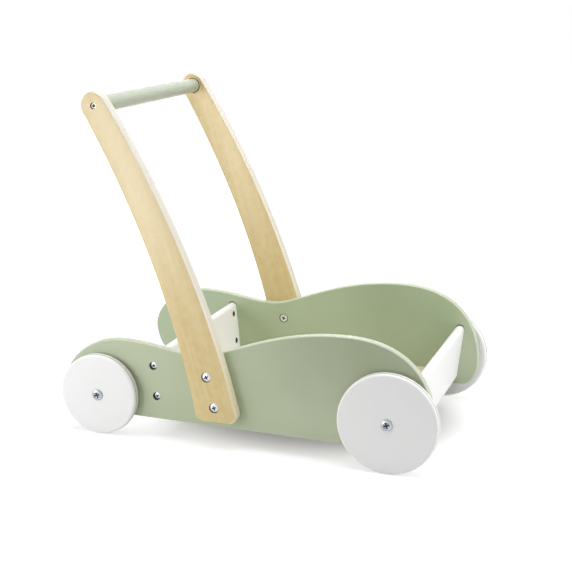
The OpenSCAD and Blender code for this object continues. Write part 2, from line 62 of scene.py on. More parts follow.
lens = bpy.data.cameras.new("camera")
lens.sensor_width = SENSOR
lens.lens = CAMERA_LENS
camera = bpy.data.objects.new("camera", lens)
bpy.context.scene.collection.objects.link(camera)
place = Matrix.Translation(CAMERA_AT)
for angle, axis in CAMERA_TURNS:
    place = place @ Matrix.Rotation(math.radians(angle), 4, axis)
camera.matrix_world = place
bpy.context.scene.camera = camera
bpy.context.scene.view_settings.view_transform = "Standard"
print("camera:", round(CAMERA_LENS, 1), "mm lens,", round(CAMERA_AT.length, 2), "m from the origin")

# %% [markdown]
# Every finish is a small node tree. Nodes could be placed one by one, but sums on values read
# better as sums, so a class wraps a socket and each operator on it adds a Math node.

# %% Shader sums
class Value:
    """A number inside a finish. Sums and products with it add Math nodes."""

    def __init__(self, tree, socket):
        self.tree, self.socket = tree, socket

    def math(self, operation, *terms):
        node = self.tree.nodes.new("ShaderNodeMath")
        node.operation = operation
        for socket, term in zip(node.inputs, terms):
            feed(self.tree, socket, term)
        return Value(self.tree, node.outputs[0])

    def __add__(self, other):
        return self.math("ADD", self, other)

    def __sub__(self, other):
        return self.math("SUBTRACT", self, other)

    def __rsub__(self, other):
        return self.math("SUBTRACT", other, self)

    def __mul__(self, other):
        return self.math("MULTIPLY", self, other)

    def __abs__(self):
        return self.math("ABSOLUTE", self)

    def root(self):
        return self.math("SQRT", self)

    def at_most(self, top):
        return self.math("MINIMUM", self, top)

    __radd__ = __add__
    __rmul__ = __mul__


def feed(tree, socket, term):
    """Links a value to a socket, or sets a plain number, colour or vector on it."""
    if isinstance(term, Value):
        tree.links.new(term.socket, socket)
    else:
        socket.default_value = term


print("shader sums ready")

# %% [markdown]
# All other nodes come from one method, which sets a node's settings first and its sockets
# after. A finish adds what most of the surfaces below need: a place on the object, noise, a
# soft ramp, a blend of two tones, and a mask for rims that turn away from the flat faces.

# %% Finishes
NOISE_BAND = (0.3, 0.7)


class Graph:
    """A node tree, and the method that adds nodes to it."""

    def __init__(self, tree):
        self.tree = tree

    def add(self, kind, settings, sockets, out=0):
        node = self.tree.nodes.new(kind)
        for key, setting in settings.items():
            setattr(node, key, setting)
        for key, term in sockets.items():
            feed(self.tree, next(s for s in node.inputs if s.name == key and s.enabled), term)
        if isinstance(out, str):
            return Value(self.tree, node.outputs[out])
        return Value(self.tree, [s for s in node.outputs if s.enabled][out])

    def seen_by(self, *kinds):
        """1 for rays of these kinds, such as the camera's own, and 0 for all others."""
        rays = (self.add("ShaderNodeLightPath", {}, {}, f"Is {kind} Ray") for kind in kinds)
        return sum(rays).at_most(1.0)


class Finish(Graph):
    """One material: a Principled shader, with nodes in front of it."""

    def __init__(self, name):
        self.material = bpy.data.materials.new(name)
        self.material.use_nodes = True
        super().__init__(self.material.node_tree)
        self.shader = self.tree.nodes["Principled BSDF"]

    def place(self, turn=(0, 0, 0), stretch=(1, 1, 1)):
        """Object coordinates, turned and then stretched."""
        at = self.add("ShaderNodeTexCoord", {}, {}, "Object")
        if any(turn):
            at = self.add("ShaderNodeMapping", {}, {"Vector": at, "Rotation": turn})
        return self.add("ShaderNodeMapping", {}, {"Vector": at, "Scale": stretch})

    def noise(self, at, scale, detail=2.0, warp=0.0):
        return self.add(
            "ShaderNodeTexNoise", {},
            {"Vector": at, "Scale": scale, "Detail": detail, "Distortion": warp}, "Fac",
        )

    def span(self, value, low, high, to_low=0.0, to_high=1.0):
        """Maps low..high to another span, with soft ends and nothing beyond them."""
        return self.add(
            "ShaderNodeMapRange", {"interpolation_type": "SMOOTHSTEP"}, {
                "Value": value, "From Min": low, "From Max": high,
                "To Min": to_low, "To Max": to_high,
            },
        )

    def level(self, noise, to_low=0.0, to_high=1.0):
        """Spreads the usual band of a noise over another span."""
        return self.span(noise, *NOISE_BAND, to_low, to_high)

    def blend(self, share, first, second):
        return self.add(
            "ShaderNodeMix", {"data_type": "RGBA"}, {"Factor": share, "A": first, "B": second}
        )

    def axis(self, at, key):
        """One coordinate of a place, X, Y or Z."""
        return self.add("ShaderNodeSeparateXYZ", {}, {"Vector": at}, key)

    def off_middle(self, at):
        """How far a point is from the upright middle plane of the cart."""
        return abs(self.axis(at, "Y"))

    def normal(self):
        return self.add("ShaderNodeTexCoord", {}, {}, "Normal")

    def rim(self, turned=0.7, flat=0.99):
        """0 on the flat faces of an upright plate or wheel, 1 where its rim has turned away."""
        return 1 - self.span(self.off_middle(self.normal()), turned, flat)

    def finish(self, colour, roughness, height=None, depth=0.0, constants=None):
        feed(self.tree, self.shader.inputs["Base Color"], colour)
        feed(self.tree, self.shader.inputs["Roughness"], roughness)
        for key, number in (constants or {}).items():
            self.shader.inputs[key].default_value = number
        if height is not None:
            bump = self.add(
                "ShaderNodeBump", {}, {"Strength": 1.0, "Distance": depth, "Height": height}
            )
            feed(self.tree, self.shader.inputs["Normal"], bump)
        return self.material


def srgb(code):
    """A colour written as six hex digits, made linear."""
    parts = [int(code[i : i + 2], 16) / 255 for i in (0, 2, 4)]
    linear = [c / 12.92 if c <= 0.04045 else ((c + 0.055) / 1.055) ** 2.4 for c in parts]
    return (*linear, 1.0)


print("finishes ready")

# %% [markdown]
# Sprayed paint on a smooth board is even, but not perfectly: it varies a little in tone over
# a hand's width, has a fine orange-peel surface, and is thinner along rounded rims, where the
# primer glows through. A flat colour would look like plastic, so all three are built in. The
# side panels are painted darker and greener inside the tub, a painted shade with green bounce
# light, and outside they are painted darker towards the front crest, a painted shade. Bores
# that were drilled after painting show the raw board, painted near-black as a painted shade.

# %% Paint
MM = 0.001
# Where the painted shade on a side panel begins and ends, in metres on the object: inside the tub,
# and on the front crest.
INNER_FACE = (0.1335, 0.1355)
TUB_FRONT = (0.205, 0.222)
CREST_SHADE_AHEAD, CREST_SHADE_UP = (-0.06, 0.12), (0.03, 0.15)
# The scales of the noises in paint, and how strongly they show.
CLOUDS, PEEL, GLOSS_SPOTS, RUBBED = 7.0, 520.0, 60.0, 160.0
CLOUD_SHARE, RIM_SHARE, RUB_SHARE, RUB_BAND = 0.16, 0.55, 0.25, (0.52, 0.66)
GLOSS_VARIES, RUB_GLOSS = 0.05, 0.06
CLOUD_RELIEF, BORE_EDGE = 0.5, 0.98
# The raw board in the bores, painted near-black: a painted shade.
SHADED_RAW_TONE = srgb("2E2D27")


def panel_body(made, at, body, inner, crest):
    """Body paint of a side panel, with painted shade inside the tub and on the front crest."""
    ahead, upwards = made.axis(at, "X"), made.axis(at, "Z")
    outside = made.span(made.off_middle(at), *INNER_FACE)
    # Painted shade and green bounce light: a darker, greener tone inside the tub.
    inside = (1 - outside) * (1 - made.span(ahead, *TUB_FRONT))
    # Painted shade outside, deepest high on the front crest.
    rising = made.span(ahead, *CREST_SHADE_AHEAD) * made.span(upwards, *CREST_SHADE_UP)
    return made.blend(inside, made.blend(outside * rising, body, crest), inner)


def shade_bores(made, at, tone, reach, out, levels, radius):
    """Raw board in bores along X, painted near-black as a painted shade, given by their reach,
    distance off the middle and heights.
    """
    (rear, front), ahead, upwards = reach, made.axis(at, "X"), made.axis(at, "Z")
    aside = made.off_middle(at) - out
    open_end = made.span(ahead, rear, rear + MM) * made.span(ahead, front - MM, front, 1.0, 0.0)
    for level in levels:
        above = upwards - level
        off_axis = (aside * aside + above * above).root()
        hole = made.span(off_axis, radius * BORE_EDGE, radius, 1.0, 0.0)
        tone = made.blend(hole * open_end, tone, SHADED_RAW_TONE)
    return tone


def paint(name, body, thin, rough, peel, painted_shade_tones=None, bores=None):
    """Paint with a thin tone on its rims. Painted shade tones darken the tub and the front crest.
    """
    made = Finish(name)
    at = made.place()
    if painted_shade_tones:
        body = panel_body(made, at, body, *painted_shade_tones)
    cloud = made.noise(at, CLOUDS, 3.0)
    grit = made.noise(at, PEEL, 2.0)
    rim = made.rim()
    rub = rim * made.span(made.noise(at, RUBBED, 4.0), *RUB_BAND)
    tone = made.blend(made.level(cloud, 0.0, CLOUD_SHARE), body, thin)
    tone = made.blend(rim * RIM_SHARE + rub * RUB_SHARE, tone, thin)
    if bores:
        tone = shade_bores(made, at, tone, *bores)
    spots = made.level(made.noise(at, GLOSS_SPOTS, 3.0), -GLOSS_VARIES, GLOSS_VARIES)
    return made.finish(tone, rough + spots - rub * RUB_GLOSS, grit + cloud * CLOUD_RELIEF, peel)


SAGE = paint(
    "sage_paint", srgb("B5C0A0"), srgb("D5DAC9"), rough=0.5, peel=0.06 * MM,
    # Painted shade tones: darker and greener in the tub, darker on the front crest.
    painted_shade_tones=(srgb("ADBE9B"), srgb("A0AA8A")),
)
GRIP = paint("sage_grip", srgb("A9B19D"), srgb("BAC0AD"), rough=0.46, peel=0.06 * MM)
WHITE_COAT = {
    "body": srgb("F1F1F1"), "thin": srgb("F6F6F5"), "rough": 0.45, "peel": 0.05 * MM,
}
WHITE = paint("white_paint", **WHITE_COAT)
print("paints:", [m.name for m in (SAGE, GRIP, WHITE)])

# %% [markdown]
# The arms are bare birch board. Its grain runs straight along the sheet that they were sawn
# from, so it follows an arm at its foot and not its bend. A picture of wood would bend with
# it, so the grain is built of noises that are stretched along the sheet: broad soft bands of
# growth, streaks, thin fibres and short dark flecks, and an even mottle over them. The sawn
# edge that looks forwards is pale. It is paler along its sanded round, partly a painted fill
# light there; near the foot it has a painted shade, and high up a painted highlight. The board
# of the right arm is painted lighter upwards, a painted highlight of its lacquer.

# %% Bare wood
# Where the painted highlight and the painted shade on the wood begin, in metres on the object.
HIGHLIGHT_RISE = (0.14, 0.40)
HIGHLIGHT_SIDE = (-0.1, -0.05)
FOOT_SHADE_RISE = (0.09, 0.17)
HIGHLIGHT_TONE, FLECKED = srgb("E6D7AF"), srgb("B08E57")
MOTTLE, FLECK_BAND = 95.0, (0.66, 0.78)
# Each layer of the grain: its stretch along the board, its scale, detail and warp.
GRAIN = {
    "band": (0.16, 26.0, 3.0, 0.6),
    "fibre": (0.045, 620.0, 3.0, 0.0),
    "streak": (0.045, 150.0, 4.0, 0.3),
    "fleck": (0.1, 900.0, 1.0, 0.0),
}
# Each layer's share of the dark tone, and the band of its noise that makes it.
FIGURE = {
    "band": (0.32, 0.3, 0.72), "streak": (0.26, *NOISE_BAND),
    "fibre": (0.18, *NOISE_BAND), "mottle": (0.24, 0.35, 0.65),
}
FLECK_SHARE, HIGHLIGHT_SHARE, EDGE_SHARE = 0.14, 0.4, (0.1, 0.9)
EDGE_DULL, EDGE_EVEN = 0.85, 0.97
BOARD_RIM, ROUND_TURN, FORWARDS = (0.92, 0.999), (0.0, 0.55), (-0.1, 0.25)
WOOD_ROUGH, WOOD_VARIES = 0.56, (-0.05, 0.06)
FIBRE_RISE, STREAK_RISE, FLECK_SINK, GRAIN_DEPTH = 0.7, 0.3, 0.5, 0.08 * MM


def sawn_edge(made, height, high, foot_shade_tone, round_tone, square_tone, highlight_edge_tone):
    """An edge with a painted shade near the foot, a round that is partly painted fill light, and
    two tones square on, the upper a painted highlight.
    """
    square = made.blend(high, square_tone, highlight_edge_tone)
    upper = made.blend(made.rim(*ROUND_TURN), round_tone, square)
    return made.blend(made.span(height, *FOOT_SHADE_RISE), foot_shade_tone, upper)


def bare_wood(name, turn, light, dark, edge, lacquer):
    """Wood of two tones, with a sawn edge of one tone or of four."""
    made = Finish(name)
    at = made.place()
    grain = {
        key: made.noise(made.place(turn, (1.0, 1.0, run)), scale, detail, warp)
        for key, (run, scale, detail, warp) in GRAIN.items()
    }
    fleck = made.span(grain["fleck"], *FLECK_BAND)
    grain["mottle"] = made.noise(at, MOTTLE, 3.0)
    figure = sum(
        made.span(grain[key], low, high) * share for key, (share, low, high) in FIGURE.items()
    )
    tone = made.blend(figure, light, dark)
    tone = made.blend(fleck * FLECK_SHARE, tone, FLECKED)
    height = made.axis(at, "Z")
    # A painted highlight of the lacquer: the right arm's board is painted lighter upwards.
    high = made.span(height, *HIGHLIGHT_RISE)
    left = made.span(made.axis(at, "Y"), *HIGHLIGHT_SIDE)
    tone = made.blend(high * (1 - left) * HIGHLIGHT_SHARE, tone, HIGHLIGHT_TONE)
    rim = made.rim(*BOARD_RIM)
    forwards = made.span(made.axis(made.normal(), "X"), *FORWARDS, *EDGE_SHARE)
    sawn = sawn_edge(made, height, high, *edge) if len(edge) > 1 else edge[0]
    tone = made.blend(rim * forwards, tone, sawn)
    shine = WOOD_ROUGH + made.level(grain["streak"], *WOOD_VARIES)
    if lacquer:
        feed(made.tree, made.shader.inputs["Coat Weight"], 1 - rim * EDGE_DULL)
    sheen = {"Coat Roughness": 0.28, "Specular IOR Level": 0.25}
    relief = grain["fibre"] * FIBRE_RISE + grain["streak"] * STREAK_RISE - fleck * FLECK_SINK
    return made.finish(tone, shine, relief * (1 - rim * EDGE_EVEN), GRAIN_DEPTH, sheen)


ARM_GRAIN = (0.0, math.radians(17.0), 0.0)
FLOOR_GRAIN = (0.0, math.radians(90.0), 0.0)
# Sawn edge tones: painted shade near the foot, the round (sanded, partly painted fill light),
# square on, and a painted highlight square on higher up.
ARM_EDGE = (srgb("F1E9CD"), srgb("FAF6ED"), srgb("E6E0D3"), srgb("E7E3D9"))
FLOOR_EDGE = (srgb("E4DAC6"),)
BIRCH = bare_wood(
    "birch", ARM_GRAIN, srgb("E1CD96"), srgb("D0B678"), ARM_EDGE, lacquer=True
)
FLOOR_PLY = bare_wood(
    "floor_ply", FLOOR_GRAIN, srgb("E4DBC7"), srgb("D8CBB0"), FLOOR_EDGE, lacquer=False
)
print("woods:", [m.name for m in (BIRCH, FLOOR_PLY)])

# %% [markdown]
# The bolts are bright zinc plate, with driver recesses painted near-black as a painted shade,
# and the barrel nuts are painted near-black as a painted shade in their holes. The wheel bushes
# are white nylon, and the thin rings round the wheels a pale rubber edged by painted shadow
# lines. Bored holes show the raw board, painted dark as a painted shade. Each has its own
# roughness and fine surface to tell it apart.

# %% Metal, nylon and rubber
HAZE, HAZE_ROUGH, EDGE_REFLECTION = 900.0, 0.12, 0.6
BRUSHED, BRUSH_RUN, BRUSH_ROUGH, BRUSH_DEPTH = 2600.0, (1.0, 0.06, 1.0), 0.06, 0.01 * MM
PATCHES, MOULD_VARIES, SHADOW_LINE_BAND = 30.0, (-0.04, 0.06), (0.4, 0.9)


def metal(name, body, light, edge, rough):
    """A plated metal: hazy, finely brushed, and painted darker where it turns away, a painted
    reflection.
    """
    made = Finish(name)
    haze = made.noise(made.place(), HAZE, 3.0)
    brush = made.noise(made.place(stretch=BRUSH_RUN), BRUSHED, 2.0)
    tone = made.blend(made.level(haze), body, light)
    tone = made.blend(made.rim() * EDGE_REFLECTION, tone, edge)
    shine = rough + made.level(haze, 0.0, HAZE_ROUGH) + made.level(brush, 0.0, BRUSH_ROUGH)
    return made.finish(tone, shine, brush, BRUSH_DEPTH, {"Metallic": 1.0})


def moulded(name, body, light, rough, grain, depth, shadow_lines=None):
    """A dull finish of two tones. Shadow lines are a tone, and the two sides of a ring, which it
    edges with thin painted shadow lines.
    """
    made = Finish(name)
    at = made.place()
    fine = made.noise(at, grain, 3.0)
    tone = made.blend(made.level(made.noise(at, PATCHES, 2.0)), body, light)
    if shadow_lines:
        shadow_tone, low, high = shadow_lines
        half = (high - low) / 2
        off_line = abs(made.off_middle(at) - (low + half))
        band = [half * share for share in SHADOW_LINE_BAND]
        tone = made.blend(made.span(off_line, *band), tone, shadow_tone)
    return made.finish(tone, rough + made.level(fine, *MOULD_VARIES), fine, depth)


tread_low, tread_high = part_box("front_tread_left")
# Each metal's third tone is a painted reflection of the darker parts round it, on edges that turn
# away.
ZINC = metal("zinc", srgb("BCC0C6"), srgb("D6D9DD"), srgb("666B72"), rough=0.22)
# The sleeve nuts' zinc is tinted green, a painted reflection of the green panels round them.
SOFT_ZINC = metal("soft_zinc", srgb("C6CAC3"), srgb("DEE1DA"), srgb("8B8E88"), rough=0.5)
STEEL = metal("dull_steel", srgb("C2BFB6"), srgb("D6D3CA"), srgb("96938B"), rough=0.42)
# Near-black zinc for driver recesses: a painted shade in them.
SHADED_RECESS = metal("zinc_recess_shade", srgb("33363B"), srgb("4C5056"), srgb("26282C"), rough=0.4)
# Darker zinc for the dish round a wheel bolt's cross: a painted shade.
SHADED_DISH = metal("zinc_dish_shade", srgb("8C9298"), srgb("B0B5BA"), srgb("5A5F66"), rough=0.3)
NYLON = moulded("nylon", srgb("E2E2DC"), srgb("EBEBE6"), rough=0.42, grain=400.0, depth=0.04 * MM)
RUBBER = moulded(
    "tread_rubber", srgb("E2E2DF"), srgb("EAEAE8"), rough=0.72, grain=1400.0, depth=0.05 * MM,
    # Painted shadow lines along both sides of the tread ring.
    shadow_lines=(srgb("8A8A87"), tread_low.y, tread_high.y),
)
# Near-black barrel nuts: a painted shade in their deep holes.
BARREL_NUT_SHADE = moulded(
    "barrel_nut_shade_steel", srgb("1D1D1E"), srgb("2A2A2B"), rough=0.5, grain=700.0, depth=0.03 * MM
)
# Bore walls: raw board and birch painted dark, a painted shade in the holes.
SHADED_BORE_FINISH = {"rough": 0.85, "grain": 900.0, "depth": 0.08 * MM}
SHADED_BOARD_BORE = moulded("shaded_board_bore", SHADED_RAW_TONE, srgb("45433B"), **SHADED_BORE_FINISH)
SHADED_BIRCH_BORE = moulded("shaded_birch_bore", srgb("6B5A40"), srgb("857155"), **SHADED_BORE_FINISH)
print("others:", [m.name for m in (
    ZINC, SOFT_ZINC, STEEL, SHADED_RECESS, SHADED_DISH, NYLON, RUBBER, BARREL_NUT_SHADE, SHADED_BOARD_BORE, SHADED_BIRCH_BORE,
)])

# %% [markdown]
# Most CAD pieces already have the right shape, so they stay, and only get their finish. The
# material goes into the object's first slot, which leaves the mesh and its place alone.

# %% Finishes for the CAD pieces that stay
KEPT = {
    "floor_board": FLOOR_PLY, "handle_bar": GRIP, "handle_inserts": ZINC,
    # The barrel nuts are painted near-black, a painted shade.
    "front_barrel_nuts": BARREL_NUT_SHADE, "rear_barrel_nuts": BARREL_NUT_SHADE,
    "wheel_spacers": NYLON, "wheel_nuts": ZINC,
}
for end in ("front", "rear"):
    for side in ("left", "right"):
        KEPT[f"{end}_wheel_{side}"] = WHITE
        KEPT[f"{end}_tread_{side}"] = RUBBER
        KEPT[f"{end}_bush_{side}"] = NYLON
for name, material in KEPT.items():
    nodes[name].material_slots[0].material = material
print("kept:", len(KEPT), "CAD pieces")

# %% [markdown]
# The new pieces are modelled as by hand. These helpers hold what each of them needs: one
# object selected at a time, a Boolean cut that is applied at once, and a closing step that
# merges doubles, turns the faces outwards and shades the soft edges smooth.

# %% Modelling helpers
SMOOTH_BELOW = math.radians(38.0)
MERGE_BELOW = 0.002 * MM


def work_on(piece):
    bpy.ops.object.select_all(action="DESELECT")
    piece.select_set(True)
    bpy.context.view_layer.objects.active = piece


def carve(piece, cutter):
    work_on(piece)
    cut = piece.modifiers.new("carve", "BOOLEAN")
    cut.operation, cut.solver, cut.object = "DIFFERENCE", "EXACT", cutter
    cut.material_mode = "TRANSFER"
    bpy.ops.object.modifier_apply(modifier=cut.name)
    bpy.data.objects.remove(cutter)


def close_up(piece):
    work_on(piece)
    bpy.ops.object.mode_set(mode="EDIT")
    bpy.ops.mesh.select_all(action="SELECT")
    bpy.ops.mesh.remove_doubles(threshold=MERGE_BELOW)
    bpy.ops.mesh.normals_make_consistent(inside=False)
    bpy.ops.object.mode_set(mode="OBJECT")
    bpy.ops.object.shade_smooth_by_angle(angle=SMOOTH_BELOW)


def settle(piece, at, turn=(0.0, 0.0, 0.0)):
    """Moves and turns a piece, and keeps its place in its mesh."""
    work_on(piece)
    piece.location, piece.rotation_euler = at, turn
    bpy.ops.object.transform_apply(location=True, rotation=True, scale=True)


print("modelling helpers ready")

# %% [markdown]
# Bolts, nuts and drill bits are turned pieces. A profile could be spun round its axis, but a
# disc that is extruded and scaled from ring to ring has no seam to close. A finished piece is
# copied or mirrored, each copy with its own mesh, and all of them ride on the cart.

# %% Turned, copied and mirrored pieces
def turned(name, profile, steps=72):
    """A solid of revolution about Z: a disc, extruded and scaled from ring to ring."""
    bpy.ops.object.select_all(action="DESELECT")
    radius, height = profile[0]
    bpy.ops.mesh.primitive_circle_add(
        vertices=steps, radius=radius * MM, fill_type="NGON", location=(0, 0, height * MM)
    )
    piece = bpy.context.object
    piece.name = name
    settle(piece, piece.location)
    bpy.ops.object.mode_set(mode="EDIT")
    bpy.ops.mesh.select_all(action="SELECT")
    for r, h in profile[1:]:
        rise = (0, 0, (h - height) * MM)
        bpy.ops.mesh.extrude_region_move(TRANSFORM_OT_translate={"value": rise})
        bpy.ops.transform.resize(value=(r / radius, r / radius, 1), center_override=(0, 0, h * MM))
        radius, height = r, h
    bpy.ops.object.mode_set(mode="OBJECT")
    return piece


def face_out(piece, x, y, z):
    """Turns a piece that was made about Z to point outwards, along Y, on its side of the cart."""
    settle(piece, (x * MM, y * MM, z * MM), (-math.copysign(math.pi / 2, y), 0.0, 0.0))
    return piece


def copied(piece, name):
    twin = piece.copy()
    twin.data = piece.data.copy()
    twin.name = name
    bpy.context.scene.collection.objects.link(twin)
    return twin


def mirrored(piece, name):
    """A copy on the other side of the cart."""
    twin = copied(piece, name)
    work_on(twin)
    twin.scale = (1, -1, 1)
    bpy.ops.object.transform_apply(location=False, rotation=False, scale=True)
    close_up(twin)
    return twin


def coat(piece, material):
    """Gives a piece its finish. A cutter's finish stays on the faces that it cuts."""
    piece.data.materials.append(material)
    return piece


def fit(piece, slot, *stands_for):
    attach(piece, "cart")
    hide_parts(*stands_for)


print("turning and copying ready")

# %% [markdown]
# The side panels and the arms are sawn plates with a routed round-over. An extruded polygon
# with a bevel would do, but a filled Bezier curve is closer to how such an outline is drawn:
# a few knots with handles, a thickness, and a bevel that runs evenly round the whole rim.

# %% Sawn plates
CURVE_STEPS = 28
RIM_STEPS = 5


def sawn_plate(name, material, knots, thickness, rim, outer_y):
    """A plate from knots (handle, point, handle) in x and z. None is the end of a straight run."""
    bpy.ops.object.select_all(action="DESELECT")
    bpy.ops.curve.primitive_bezier_curve_add()
    piece = bpy.context.object
    piece.name = name
    bpy.ops.object.mode_set(mode="EDIT")
    bpy.ops.curve.select_all(action="SELECT")
    bpy.ops.curve.subdivide(number_cuts=len(knots) - 2)
    bpy.ops.curve.cyclic_toggle()
    bpy.ops.object.mode_set(mode="OBJECT")
    line = piece.data
    for point, (before, at, after) in zip(line.splines[0].bezier_points, knots):
        point.co = Vector((*at, 0.0)) * MM
        point.handle_left_type = "FREE" if before else "VECTOR"
        point.handle_right_type = "FREE" if after else "VECTOR"
        point.handle_left = Vector((*(before or at), 0.0)) * MM
        point.handle_right = Vector((*(after or at), 0.0)) * MM
    line.dimensions, line.fill_mode, line.resolution_u = "2D", "BOTH", CURVE_STEPS
    line.extrude = (thickness / 2 - rim) * MM
    line.bevel_depth, line.bevel_resolution, line.offset = rim * MM, RIM_STEPS, -rim * MM
    bpy.ops.object.convert(target="MESH")
    settle(piece, (0, (outer_y - thickness / 2) * MM, 0), (math.pi / 2, 0, 0))
    close_up(piece)
    return coat(piece, material)


print("sawn plates ready")

# %% [markdown]
# A side panel rises and falls over two crests above a straight foot. Seven knots are enough
# for it: the two ends of the foot, the two noses, the two crests and the dip between them.

# %% Side panel
SIDE_T, SIDE_RIM, OUTER_Y, INNER_Y = 12.0, 2.0, 145.0, 133.0
PANEL_KNOTS = [
    ((-244, 26), (-231, 26), None),
    (None, (223, 26), (240, 26)),
    ((245, 51), (245, 59), (245, 111)),
    ((217, 164), (133, 164), (33, 164)),
    ((-30, 118), (-65, 118), (-106, 118)),
    ((-122, 128), (-171, 128), (-217, 128)),
    ((-253, 96), (-253, 66), (-253, 53)),
]
side_panel = sawn_plate("side_panel_left_sawn", SAGE, PANEL_KNOTS, SIDE_T, SIDE_RIM, OUTER_Y)
panel_low, panel_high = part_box("side_panel_left")
for kind, size in (("sawn", side_panel.dimensions), ("CAD", panel_high - panel_low)):
    print("side panel,", kind, [round(v / MM, 2) for v in size])

# %% [markdown]
# The cross panels stay as CAD pieces, white like the wheels. Their bores for the barrel nuts
# were drilled through the paint, so the raw board shows in them, painted near-black as a
# painted shade. The CAD mesh has the bores already, so nothing is cut again: the paint just
# changes where their walls are.

# %% Paint of the cross panels
CROSS_T, CROSS_MID_Z, CROSS_HALF_H, CROSS_ROUND = 12.0, 73.5, 38.73, 3.0
CROSS_LEAN = math.radians(6.2)
CROSS_PANELS = {"rear": (-124.0, -CROSS_LEAN), "front": (213.5, CROSS_LEAN)}
CROSS_BOLTS = (-CROSS_HALF_H + 22.0, CROSS_HALF_H - 14.5)
BARREL_IN, BARREL_R, BARREL_REACH = 12.0, 4.2, (-125.0, 213.0)

face_rise = CROSS_T / 2 * math.sin(CROSS_LEAN)
barrel_heights = [CROSS_MID_Z + h * math.cos(CROSS_LEAN) + face_rise for h in CROSS_BOLTS]
WHITE_SHADED_BORES = paint("white_paint_shaded_bores", **WHITE_COAT, bores=(
    [x * MM for x in BARREL_REACH], (INNER_Y - BARREL_IN) * MM,
    [z * MM for z in barrel_heights], BARREL_R * MM,
))
for end in CROSS_PANELS:
    nodes[f"{end}_panel"].material_slots[0].material = WHITE_SHADED_BORES
print("cross panels: bores at heights of", [round(z, 1) for z in barrel_heights], "mm")

# %% [markdown]
# Housings, grooves and driver recesses are cut by blocks, which reach a little past the face
# that they open. A block starts as a cube at its size, and is then bevelled or tapered at some
# of its edges. A new mesh has no names for them, so they are picked by where they lie.

# %% Block cutters
OVER, NEAR = 0.8, 0.01


def pick_edges(piece, test):
    """Selects the edges of a mesh that pass a test on their two ends, in millimetres."""
    bpy.ops.object.mode_set(mode="EDIT")
    bpy.ops.mesh.select_mode(type="EDGE")
    bpy.ops.mesh.select_all(action="DESELECT")
    bpy.ops.object.mode_set(mode="OBJECT")
    points = piece.data.vertices
    for edge in piece.data.edges:
        edge.select = test(*(points[i].co / MM for i in edge.vertices))
    bpy.ops.object.mode_set(mode="EDIT")


def level_at(height, a, b):
    """Whether both ends of an edge lie at a height."""
    return abs(a.z - height) + abs(b.z - height) < NEAR


def block(low, high):
    """A box between two corners."""
    bpy.ops.object.select_all(action="DESELECT")
    bpy.ops.mesh.primitive_cube_add(size=1)
    piece = bpy.context.object
    piece.scale = [(h - l) * MM for l, h in zip(low, high)]
    settle(piece, [(h + l) / 2 * MM for l, h in zip(low, high)])
    return piece


print("block cutters ready")

# %% [markdown]
# The cross panels stand in shallow housings on the inner faces of the side panels, round at
# the top like the cross panels and a little longer, which leaves the dark crescent over each.
# The cutter's top edges are bevelled to a full round, and then it is leaned. A plain groove
# does for the floor's tongue. The cutter's near-black finish, a painted shade, stays on the
# faces that it cuts and darkens the crescent.

# %% Housings and groove
HOUSING_DEPTH, HOUSING_CLEAR, HOUSING_END_GAP = 3.0, 0.25, 1.7
TONGUE_T, TONGUE_CLEAR = 3.3, 0.3
ROUND_STEPS = 16


def housing_cutter(x, lean):
    """A leaning box with a full round along its top."""
    top, bottom = CROSS_HALF_H + HOUSING_END_GAP, -CROSS_HALF_H - HOUSING_CLEAR
    half, deep = CROSS_T / 2 + HOUSING_CLEAR, HOUSING_DEPTH + OVER
    cutter = block((-half, 0, bottom), (half, deep, top))
    for height, radius in ((top, half - NEAR), (bottom, CROSS_ROUND + HOUSING_CLEAR)):
        pick_edges(cutter, lambda a, b: level_at(height, a, b) and abs(a.y - b.y) > NEAR)
        bpy.ops.mesh.bevel(offset=radius * MM, segments=ROUND_STEPS, affect="EDGES")
        bpy.ops.object.mode_set(mode="OBJECT")
    settle(cutter, (x * MM, (INNER_Y - OVER) * MM, CROSS_MID_Z * MM), (0, lean, 0))
    close_up(cutter)
    return coat(cutter, SHADED_BOARD_BORE)


for end, (x, lean) in CROSS_PANELS.items():
    carve(side_panel, housing_cutter(x, lean))
floor_low, floor_high = (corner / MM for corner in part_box("floor_board"))
groove_low = (floor_low.x - TONGUE_CLEAR, INNER_Y - OVER, floor_low.z)
groove_high = (floor_high.x + TONGUE_CLEAR, INNER_Y + HOUSING_DEPTH, floor_low.z + TONGUE_T)
carve(side_panel, coat(block(groove_low, groove_high), SHADED_BOARD_BORE))
groove_length = groove_high[0] - groove_low[0]
print("side panel:", len(CROSS_PANELS), "housings and a groove of", round(groove_length), "mm")

# %% [markdown]
# Bolts and nuts sit in stepped holes, wide for a head or a nut and narrow for a shank. A hole
# could be cut step by step, but one turned bit has all its steps at once, and its mouth leaves
# the eased edge. One side panel gets all of its cuts and is then mirrored.

# %% Holes in the side panels
AXLES = {"rear": (-200.0, 54.0), "front": (190.0, 64.0)}
ARM_BOLTS = ((-35.65, 56.45), (-46.12, 96.09))
BOLT_HOLE_R = 3.2
PANEL_HEAD_HOLE_R, PANEL_HEAD_SINK = 5.0, 4.8
WHEEL_NUT_HOLE_R, WHEEL_NUT_SINK = 8.2, 1.5
SHOULDER_HOLE_R, SHOULDER_END = 4.55, 3.0
SLEEVE_HEAD_HOLE_R, SLEEVE_HEAD_SINK, SLEEVE_HOLE_R = 6.2, 2.2, 4.2
EASE = 0.35


def outer_mouth(radius, y):
    """The last rings of a bit that leaves a hole with an eased edge in an outer face."""
    return [(radius, y - EASE), (radius + OVER, y + OVER - EASE)]


def inner_mouth(radius, y):
    """The first rings of a bit that leaves a hole with an eased edge in an inner face."""
    return [(radius + OVER, y - OVER + EASE), (radius, y + EASE)]


